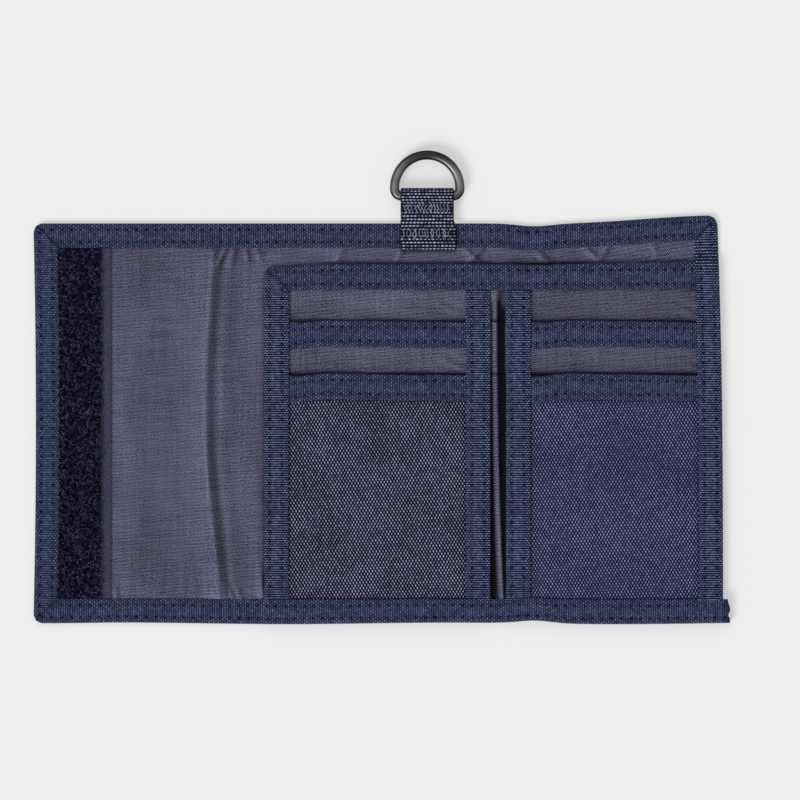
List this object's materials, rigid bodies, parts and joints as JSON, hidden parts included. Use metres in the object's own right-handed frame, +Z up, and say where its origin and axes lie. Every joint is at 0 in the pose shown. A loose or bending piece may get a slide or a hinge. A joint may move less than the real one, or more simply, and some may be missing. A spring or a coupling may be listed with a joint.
{
  "type": "trifold wallet",
  "caption": "Fabric trifold wallet lying open: card pockets on two panels, note compartment, hook-and-loop flap and a D-ring on a webbing loop.",
  "frame": {"origin": "centre of the open wallet's whole box with its D-ring, on the surface it lies on", "axes": "+X along the open wallet from the closing flap to the leaf, +Y towards the edge with the D-ring, +Z up out of the inside face"},
  "size_m": [0.224, 0.1524, 0.0055],
  "materials": {
    "outer_cloth": "tight plain weave of textured polyester, coated inside, low sheen",
    "lining": "fine nylon twill with a satin sheen",
    "edge_tape": "grosgrain tape, ribs across its width",
    "canvas": "coarse plain weave, two-tone",
    "loop_pile": "brushed loop pile, matt",
    "hook_tape": "woven tape with rows of moulded hooks",
    "webbing": "ribbed nylon webbing",
    "thread": "bonded polyester thread",
    "dark_metal": "black nickel plate on steel wire, soft highlights"
  },
  "bodies": {
    "middle": {"shell_middle": "outer_cloth", "lining_middle": "lining", "top_binding_middle": "edge_tape", "bottom_binding_middle": "edge_tape", "card_panel_left": "lining", "panel_left_binding": "edge_tape", "panel_top_binding_left": "edge_tape", "inner_pocket_left": "lining", "inner_pocket_lip_left": "edge_tape", "front_pocket_left": "canvas", "front_pocket_lip_left": "edge_tape", "column_binding_left": "edge_tape", "webbing_loop": "webbing", "bar_tacks": "thread"},
    "leaf_spine": {"shell_leaf_fold": "outer_cloth", "lining_leaf_fold": "lining", "card_panel_fold": "lining", "inner_pocket_fold": "lining", "panel_top_binding_fold": "edge_tape", "top_binding_leaf_fold": "edge_tape", "bottom_binding_leaf_fold": "edge_tape"},
    "leaf": {"shell_leaf": "outer_cloth", "lining_leaf": "lining", "top_binding_leaf": "edge_tape", "bottom_binding_leaf": "edge_tape", "right_binding": "edge_tape", "card_panel_right": "lining", "panel_top_binding_right": "edge_tape", "inner_pocket_right": "lining", "inner_pocket_lip_right": "edge_tape", "front_pocket_right": "canvas", "front_pocket_lip_right": "edge_tape", "column_binding_right": "edge_tape", "hook_strip": "hook_tape"},
    "flap_spine": {"shell_flap_fold": "outer_cloth", "lining_flap_fold": "lining", "top_binding_flap_fold": "edge_tape", "bottom_binding_flap_fold": "edge_tape"},
    "flap": {"shell_flap": "outer_cloth", "lining_flap": "lining", "left_binding": "edge_tape", "top_binding_flap": "edge_tape", "bottom_binding_flap": "edge_tape", "loop_strip": "loop_pile"},
    "ring": {"d_ring": "dark_metal"}
  },
  "joints": [
    {"name": "leaf_spine_fold", "type": "hinge", "parent": "middle", "child": "leaf_spine", "pos_m": [0.03505, -0.0117, 0.002], "axis": [0, -1, 0], "range_deg": [0, 90]},
    {"name": "leaf_fold", "type": "hinge", "parent": "leaf_spine", "child": "leaf", "pos_m": [0.03975, -0.0117, 0.002], "axis": [0, -1, 0], "range_deg": [0, 90]},
    {"name": "flap_spine_fold", "type": "hinge", "parent": "middle", "child": "flap_spine", "pos_m": [-0.04995, -0.0117, 0.002], "axis": [0, 1, 0], "range_deg": [0, 90]},
    {"name": "flap_fold", "type": "hinge", "parent": "flap_spine", "child": "flap", "pos_m": [-0.05795, -0.0117, 0.002], "axis": [0, 1, 0], "range_deg": [0, 90]},
    {"name": "ring_swing", "type": "hinge", "parent": "middle", "child": "ring", "pos_m": [0.01455, 0.0615, 0.00285], "axis": [1, 0, 0], "range_deg": [-100, 120]}
  ],
  "couplings": [
    {"joint": "leaf_fold", "follows": "leaf_spine_fold", "ratio": 1},
    {"joint": "flap_fold", "follows": "flap_spine_fold", "ratio": 1}
  ]
}
